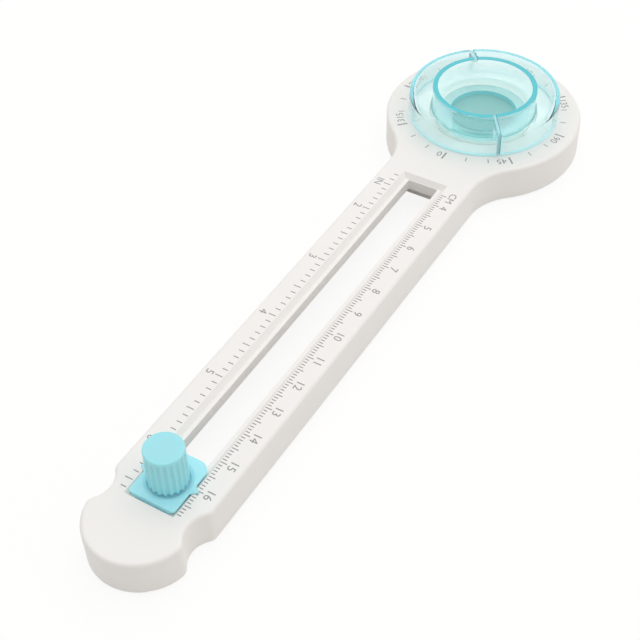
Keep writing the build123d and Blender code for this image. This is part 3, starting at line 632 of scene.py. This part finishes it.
def knob_points(sizes):
    """The knob is a section turned about its own axis, less the flutes. Their depth grows from none
    to whole by a half cosine wave in height, so that they run out below the top, and the section's
    last two corners, the hollow's, have none. The grid has no poles, so those above and below the
    roof come beside it."""
    middle = (KNOB_LOW + KNOB_HIGH) / 2
    radius = KNOB_HIGH.x - middle.x
    ceiling = KNOB_HIGH.z - sizes.roof
    corners = (
        (0, KNOB_HIGH.z, 0),
        (radius, KNOB_HIGH.z, sizes.top_edge),
        (radius, KNOB_LOW.z, sizes.foot_edge),
        (sizes.hollow_radius, KNOB_LOW.z, sizes.foot_edge),
        (sizes.hollow_radius, ceiling, sizes.foot_edge),
        (0, ceiling, 0),
    )
    _, top, *below, _ = rounded_profile(corners).reshape(len(corners), -1, 2)
    flute_top = KNOB_HIGH.z - sizes.flute_drop
    heights = flute_top - sizes.flute_fade * np.linspace(0, 1, sizes.fade_rows)
    wall = np.stack((np.full_like(heights, radius), heights), -1)
    section = np.concatenate((top, wall, *below))
    share = half_wave(np.clip((flute_top - section[:, 1]) / sizes.flute_fade, 0, 1))
    share[-2 * len(top):] = 0
    turn, cut = flute_turns(sizes, radius)
    reach = section[:, :1] - share[:, None] * cut
    height = np.broadcast_to(section[:, 1:], reach.shape)
    grid = np.stack((middle.x + reach * np.cos(turn), middle.y + reach * np.sin(turn), height), -1)
    poles = [(middle.x, middle.y, KNOB_HIGH.z), (middle.x, middle.y, ceiling)]
    return grid, np.array(poles)


def fan(row, pole):
    """Triangles between a closed row of points and a pole."""
    return np.stack((row, np.full_like(row, pole), np.roll(row, -1)), -1)


def bars(start, end, width, levels):
    """Thin upright boxes along the lines from start to end: each corner is an end moved sideways by
    half the width along the line turned a quarter, at the lower or the upper level."""
    along = end - start
    along /= np.linalg.norm(along, axis=1, keepdims=True)
    side = np.stack((-along[:, 1], along[:, 0]), -1) * np.reshape(width, (-1, 1)) / 2
    flat = np.stack((start - side, end - side, end + side, start + side), 1)
    ends = np.broadcast_to(flat[:, None], (len(start), 2, 4, 2))
    rises = np.broadcast_to(np.array(levels)[None, :, None, None], (len(start), 2, 4, 1))
    points = np.concatenate((ends, rises), -1).reshape(-1, 3)
    box = np.array((
        (3, 2, 1, 0), (4, 5, 6, 7), (0, 1, 5, 4), (1, 2, 6, 5), (2, 3, 7, 6), (3, 0, 4, 7)))
    faces = (box + 8 * np.arange(len(start))[:, None, None]).reshape(-1, 4)
    return points, faces


def lettering(text, height, centre, heading, levels):
    """Points and faces of one flat label between two levels, its middle at the centre. It reads along
    the heading in the arm's plane, and it is scaled until its tallest sign has the height."""
    curve = bpy.data.curves.new(text, "FONT")
    curve.body = text
    curve.resolution_u = LETTER_STEPS
    curve.extrude = LETTER_HALF_THICKNESS
    holder = bpy.data.objects.new(text, curve)
    bpy.context.collection.objects.link(holder)
    flat = bpy.data.meshes.new_from_object(holder.evaluated_get(bpy.context.evaluated_depsgraph_get()))
    bpy.data.objects.remove(holder)
    bpy.data.curves.remove(curve)
    shape = bmesh.new()
    shape.from_mesh(flat)
    bmesh.ops.remove_doubles(shape, verts=shape.verts, dist=LETTER_WELD)
    bmesh.ops.recalc_face_normals(shape, faces=shape.faces)
    shape.verts.index_update()
    points = np.array([vert.co for vert in shape.verts])
    faces = [[vert.index for vert in face.verts] for face in shape.faces]
    shape.free()
    bpy.data.meshes.remove(flat)
    low, high = points.min(0), points.max(0)
    points = (points - (low + high) / 2) / (high - low)[1] * height
    reading = np.array((math.cos(heading), math.sin(heading)))
    upward = np.array((-reading[1], reading[0]))
    spread = points[:, :1] * reading + points[:, 1:2] * upward + centre
    rise = np.where(points[:, 2:] > 0, levels[1], levels[0])
    return np.concatenate((spread, rise), 1), faces


def joined(parts):
    """One set of points and faces from several."""
    points, faces, count = [], [], 0
    for some, theirs in parts:
        points.append(some)
        faces += [[index + count for index in face] for face in theirs]
        count += len(some)
    return np.concatenate(points), faces


def ink_levels(sizes):
    """Lower and upper level of the ink, which reaches a little into the arm."""
    return ARM_TOP - sizes.ink_depth, ARM_TOP + sizes.ink_height


def straight_scale(sizes, ruler, side, step, unit):
    """Ticks square to the arm, a step apart from the zero on, and beyond them the numbers of whole
    units and the unit's letters. Side is 1 where the scale lies toward Y, and -1 where it lies away."""
    levels = ink_levels(sizes)
    ticks = np.arange(ruler.first, ruler.last + 1)
    long = ticks % LONG_EVERY == 0
    parts = []
    for marks, reach in ((ticks[long], ruler.long_tick), (ticks[~long], ruler.short_tick)):
        x = sizes.zero_offset + marks * step
        start = np.stack((x, np.full_like(x, side * ruler.edge)), -1)
        end = np.stack((x, np.full_like(x, side * (ruler.edge + reach))), -1)
        parts.append(bars(start, end, sizes.tick_width, levels))
    numbered = ticks[ticks % NUMBER_EVERY == 0]
    labels = [(str(tick // NUMBER_EVERY), tick, sizes.digit_height) for tick in numbered]
    labels.append((unit, ruler.unit_tick, sizes.unit_height))
    beyond = ruler.edge + ruler.long_tick + sizes.digit_gap
    for text, tick, height in labels:
        centre = (sizes.zero_offset + tick * step, side * (beyond + height / 2))
        parts.append(lettering(text, height, centre, 0, levels))
    return joined(parts)


def angle_scale(sizes):
    """A tick every 15 degrees round the turret's axis, longer and bolder every 45 degrees. Each bold
    tick has its angle printed on the clockwise side, with its head outwards."""
    levels = ink_levels(sizes)
    degrees = np.arange(0, 360, TICK_DEGREES)
    bold = degrees % BOLD_DEGREES == 0
    ray = np.stack((np.cos(np.radians(degrees)), np.sin(np.radians(degrees))), -1)
    outer = np.where(bold, sizes.ring_major, sizes.ring_minor)[:, None]
    width = np.where(bold, sizes.ring_bold, sizes.ring_width)
    parts = [bars(ray * sizes.ring_inner, ray * outer, width, levels)]
    for value in degrees[bold]:
        text = str(value)
        half = sizes.ring_digit * sizes.digit_aspect * len(text) / 2
        turn = math.radians(value) - (half + sizes.ring_digit_gap) / sizes.ring_digit_radius
        centre = sizes.ring_digit_radius * np.array((math.cos(turn), math.sin(turn)))
        parts.append(lettering(text, sizes.ring_digit, centre, turn - math.pi / 2, levels))
    points, faces = joined(parts)
    return points + np.array((0, sizes.ring_shift, 0)), faces


class CutterOperator:
    """What the operators share: they run once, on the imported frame."""

    bl_options = {"REGISTER", "UNDO"}

    @classmethod
    def poll(cls, context):
        return hasattr(context.scene, "circle_cutter")


class CUTTER_OT_arm(CutterOperator, bpy.types.Operator):
    """Gives the arm, its cover and its glides their moulded finishes"""

    bl_idname = "cutter.arm"
    bl_label = "White Arm"

    def execute(self, context):
        colours = context.scene.circle_cutter.finishes
        white = finish("white plastic", colours.white, roughness=0.42, spread=0.006, bump=0.05)
        dress(white, "arm_shell", "arm_cover")
        glide = finish("glide plastic", colours.glide, roughness=0.55, grain=1400, spread=0.012, bump=0.08)
        dress(glide, "glide_feet", "glide_ring", "drive_bush")
        return {"FINISHED"}


class CUTTER_OT_turret(CutterOperator, bpy.types.Operator):
    """Makes the clear turret and finishes its base and its soft pad"""

    bl_idname = "cutter.turret"
    bl_label = "Clear Turret"

    def execute(self, context):
        settings = context.scene.circle_cutter
        colours = settings.finishes
        satin = {"spread": 0.01, "bump": 0.02}
        frost = {"roughness": 0.5, "grain": 1500, "spread": 0.015, "bump": 0.1}
        # In the order of the zones.
        materials = (
            clear_finish("clear plastic", colours),
            # The crown finish carries painted light in its saturated colour.
            finish("crown painted light", colours.crown, roughness=0.12, spread=0.01, bump=0.01),
            glowing_finish("skirt plastic", colours.skirt, colours.skirt_glow, **frost),
            finish("groove plastic", colours.groove, roughness=0.3, **satin),
            glowing_finish("foot plastic", colours.foot, colours.foot_glow, roughness=0.3, **satin),
            finish("hole plastic", colours.hole, roughness=0.4, **satin),
            glowing_finish(
                "well plastic", colours.well, colours.well_glow, roughness=0.3,
                Transmission_Weight=0.5, IOR=PLASTIC_IOR, **satin),
        )
        points = turret_points(settings.turret)
        faces = grid_faces(*points.shape[:2], ring=True)
        zones = turret_zones(points, settings.turret)
        dome = solid(
            "clear_turret", points.reshape(-1, 3), faces, materials, "turret",
            np.where(zones == WINDOW, CLEAR, zones))
        # The window attribute marks the faces that take the clear material's painted shade.
        window = dome.data.attributes.new(WINDOW_ATTRIBUTE, "FLOAT", "FACE")
        window.data.foreach_set("value", (zones == WINDOW).astype(np.float32))
        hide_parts("turret_dome")
        frosted = glowing_finish("frosted plastic", colours.frosted, colours.frosted_glow, **frost)
        dress(frosted, "turret_base")
        rubber = finish("pad rubber", colours.pad, roughness=0.7, grain=1800, spread=0.03, bump=0.2)
        dress(rubber, "base_pad")
        return {"FINISHED"}


class CUTTER_OT_knob(CutterOperator, bpy.types.Operator):
    """Makes the fluted knob"""

    bl_idname = "cutter.knob"
    bl_label = "Fluted Knob"

    def execute(self, context):
        settings = context.scene.circle_cutter
        blue = blue_finish("blue plastic", settings.finishes.blue, settings.finishes)
        grid, poles = knob_points(settings.knob)
        rows, columns = grid.shape[:2]
        count = rows * columns
        index = np.arange(count).reshape(rows, columns)
        faces = [
            *grid_faces(rows, columns, ring=False),
            *fan(index[0], count),
            *fan(index[-1][::-1], count + 1),
        ]
        points = np.concatenate((grid.reshape(-1, 3), poles))
        knob = solid("fluted_knob", points, faces, (blue,), "knob")
        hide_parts("knob")
        return {"FINISHED"}


class CUTTER_OT_slider(CutterOperator, bpy.types.Operator):
    """Finishes the slider, its clamp, the plunger and the blade"""

    bl_idname = "cutter.slider"
    bl_label = "Slider and Blade"

    def execute(self, context):
        colours = context.scene.circle_cutter.finishes
        # The slider plate takes the lighter copy of the blue, painted light.
        dress(blue_finish("plate blue with painted light", colours.plate, colours), "slider_plate")
        dress(bpy.data.materials["blue plastic"], "clamp_shoe", "blade_holder")
        metal = {"bump": 0.1, "Metallic": 1}
        steel = finish(
            "screw steel", colours.steel, roughness=0.32, grain=2200, stretch=(1, 1, 6), spread=0.05,
            **metal)
        dress(
            steel, "cover_screws", "clamp_sleeve", "plunger_stem", "blade_clamp", "blade_screw",
            "knob_clip")
        ground = finish(
            "ground steel", colours.blade, roughness=0.22, grain=2600, stretch=(1, 1, 9), spread=0.04,
            **metal)
        dress(ground, "blade", "return_spring")
        brass = finish("turned brass", colours.brass, roughness=0.3, grain=2200, spread=0.05, **metal)
        dress(brass, "shoe_nut")
        return {"FINISHED"}


class CUTTER_OT_spring(CutterOperator, bpy.types.Operator):
    """Makes the return spring as a smooth copy of the CAD one that rides on the slider; the copy keeps its
    length, though the real spring shortens as the knob is pressed
    """

    bl_idname = "cutter.spring"
    bl_label = "Return Spring"

    def execute(self, context):
        shape = bmesh.new()
        shape.from_mesh(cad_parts["return_spring"].data)
        bmesh.ops.remove_doubles(shape, verts=shape.verts, dist=WELD)
        mesh = bpy.data.meshes.new("coil_spring")
        shape.to_mesh(mesh)
        shape.free()
        mesh.shade_smooth()
        mesh.materials.append(bpy.data.materials["ground steel"])
        spring = bpy.data.objects.new("coil_spring", mesh)
        context.collection.objects.link(spring)
        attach(spring, "slider")
        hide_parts("return_spring")
        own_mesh(spring)
        return {"FINISHED"}


class CUTTER_OT_scales(CutterOperator, bpy.types.Operator):
    """Prints the centimetre, inch and angle scales on the arm"""

    bl_idname = "cutter.scales"
    bl_label = "Printed Scales"

    def execute(self, context):
        settings = context.scene.circle_cutter
        sizes = settings.scales
        ink = finish("printed ink", settings.finishes.ink, roughness=0.6, grain=3000, spread=0.06, bump=0.05)
        scales = {
            "cm_scale": straight_scale(sizes, settings.centimetres, 1, MM, "CM"),
            "inch_scale": straight_scale(sizes, settings.inches, -1, INCH / NUMBER_EVERY, "IN"),
            "angle_scale": angle_scale(sizes),
        }
        for name, (points, faces) in scales.items():
            printed = solid(name, points, faces, (ink,), "arm")
            printed.data.shade_flat()
        return {"FINISHED"}


def share_of_view(tree, share):
    """A socket that gives the share for camera, mirror and clear rays, and nothing for the rest."""
    path = tree.nodes.new("ShaderNodeLightPath")
    total = path.outputs["Is Camera Ray"]
    for name in ("Is Glossy Ray", "Is Transmission Ray"):
        larger = tree.nodes.new("ShaderNodeMath")
        larger.operation = "MAXIMUM"
        tree.links.new(total, larger.inputs[0])
        tree.links.new(path.outputs[name], larger.inputs[1])
        total = larger.outputs["Value"]
    product = tree.nodes.new("ShaderNodeMath")
    product.operation = "MULTIPLY"
    product.inputs[1].default_value = share
    tree.links.new(total, product.inputs[0])
    return product.outputs["Value"]


def studio_floor(tint, studio):
    """A round floor whose material adds a steady white to what the lamps give it, for camera,
    mirror and clear rays only, so that the ground looks white and keeps a soft shadow."""
    made = finish("studio floor", tint, roughness=0.9, grain=40, spread=0.002, bump=0)
    tree = made.node_tree
    plain = tree.nodes["Principled BSDF"]
    white = new_node(tree, "ShaderNodeEmission", Strength=studio.floor_white)
    share = share_of_view(tree, studio.floor_glow)
    surface = mixed(tree, share, plain.outputs["BSDF"], white.outputs["Emission"])
    tree.links.new(surface, tree.nodes["Material Output"].inputs["Surface"])
    turn = np.linspace(0, 2 * math.pi, studio.floor_sides, endpoint=False)
    ring = np.stack((np.cos(turn), np.sin(turn), np.zeros_like(turn)), -1) * studio.floor_radius
    mesh = bpy.data.meshes.new("studio_floor")
    mesh.from_pydata(ring.tolist(), [], [list(range(len(turn)))])
    mesh.materials.append(made)
    floor = bpy.data.objects.new("studio_floor", mesh)
    bpy.context.collection.objects.link(floor)
    return floor


def studio_sky(strength):
    """White behind the part, and an even sky of the given strength for the light on it."""
    world = bpy.data.worlds.new("studio sky")
    bpy.context.scene.world = world
    world.use_nodes = True
    tree = world.node_tree
    light = tree.nodes["Background"]
    light.inputs["Color"].default_value = WHITE
    light.inputs["Strength"].default_value = strength
    white = new_node(tree, "ShaderNodeBackground", Color=WHITE, Strength=1)
    seen = share_of_view(tree, 1)
    surface = mixed(tree, seen, light.outputs["Background"], white.outputs["Background"])
    tree.links.new(surface, tree.nodes["World Output"].inputs["Surface"])


def soft_lamp(name, offset, size, strength):
    """A square area lamp at an offset from the part's middle, which it faces."""
    middle = (cad_low + cad_high) / 2
    data = bpy.data.lights.new(name, "AREA")
    data.size = size
    data.energy = strength
    lamp = bpy.data.objects.new(name, data)
    turned = (-Vector(offset)).to_track_quat("-Z", "Y").to_matrix().to_4x4()
    lamp.matrix_world = Matrix.Translation(middle + Vector(offset)) @ turned
    bpy.context.collection.objects.link(lamp)


def studio_camera(studio):
    """A camera that looks at the aim. Back is the direction from the aim to the camera, by azimuth
    and elevation, and right is the level direction square to it, rolled about it."""
    around, above, roll = studio.azimuth, studio.elevation, studio.roll
    back = Vector((
        math.sin(around) * math.cos(above), -math.cos(around) * math.cos(above), math.sin(above)))
    level = Vector((math.cos(around), math.sin(around), 0))
    right = level * math.cos(roll) - back.cross(level) * math.sin(roll)
    turned = Matrix((right, back.cross(right), back)).transposed().to_4x4()
    lens = bpy.data.cameras.new("studio camera")
    lens.sensor_width = SENSOR_WIDTH_MM
    lens.lens = studio.lens
    lens.clip_start = CLIP_START
    camera = bpy.data.objects.new("studio camera", lens)
    camera.matrix_world = Matrix.Translation(Vector(studio.aim) + back * studio.distance) @ turned
    bpy.context.collection.objects.link(camera)
    return camera


class CUTTER_OT_studio(CutterOperator, bpy.types.Operator):
    """Sets up the floor, the lamps, the sky and the camera"""

    bl_idname = "cutter.studio"
    bl_label = "Studio"

    def execute(self, context):
        settings = context.scene.circle_cutter
        studio = settings.studio
        context.scene.view_settings.view_transform = "Standard"
        studio_floor(settings.finishes.floor, studio)
        studio_sky(studio.sky)
        soft_lamp("upper lamp", studio.key_offset, studio.key_size, studio.key)
        soft_lamp("side lamp", studio.side_offset, studio.side_size, studio.side)
        context.scene.camera = studio_camera(studio)
        return {"FINISHED"}


GROUPS = (
    TurretSizes,
    KnobSizes,
    CentimetreSizes,
    InchSizes,
    ScaleSizes,
    Finishes,
    StudioSizes,
    CutterSettings,
)
STEPS = (
    CUTTER_OT_arm,
    CUTTER_OT_turret,
    CUTTER_OT_knob,
    CUTTER_OT_slider,
    CUTTER_OT_spring,
    CUTTER_OT_scales,
    CUTTER_OT_studio,
)


class CUTTER_PT_panel(bpy.types.Panel):
    """Lists the steps in the sidebar"""

    bl_idname = "CUTTER_PT_panel"
    bl_label = "Circle Cutter"
    bl_space_type = "VIEW_3D"
    bl_region_type = "UI"
    bl_category = "Circle Cutter"

    def draw(self, context):
        for step in STEPS:
            self.layout.operator(step.bl_idname)


def register():
    """Registers the property groups, the operators and the panel."""
    for kind in (*GROUPS, *STEPS, CUTTER_PT_panel):
        bpy.utils.register_class(kind)
    bpy.types.Scene.circle_cutter = PointerProperty(type=CutterSettings)


def unregister():
    """Takes away what register added."""
    del bpy.types.Scene.circle_cutter
    for kind in reversed((*GROUPS, *STEPS, CUTTER_PT_panel)):
        bpy.utils.unregister_class(kind)


def main():
    """Runs every step in order."""
    register()
    bpy.ops.cutter.arm()
    bpy.ops.cutter.turret()
    bpy.ops.cutter.knob()
    bpy.ops.cutter.slider()
    bpy.ops.cutter.spring()
    bpy.ops.cutter.scales()
    bpy.ops.cutter.studio()


if __name__ == "__main__":
    main()
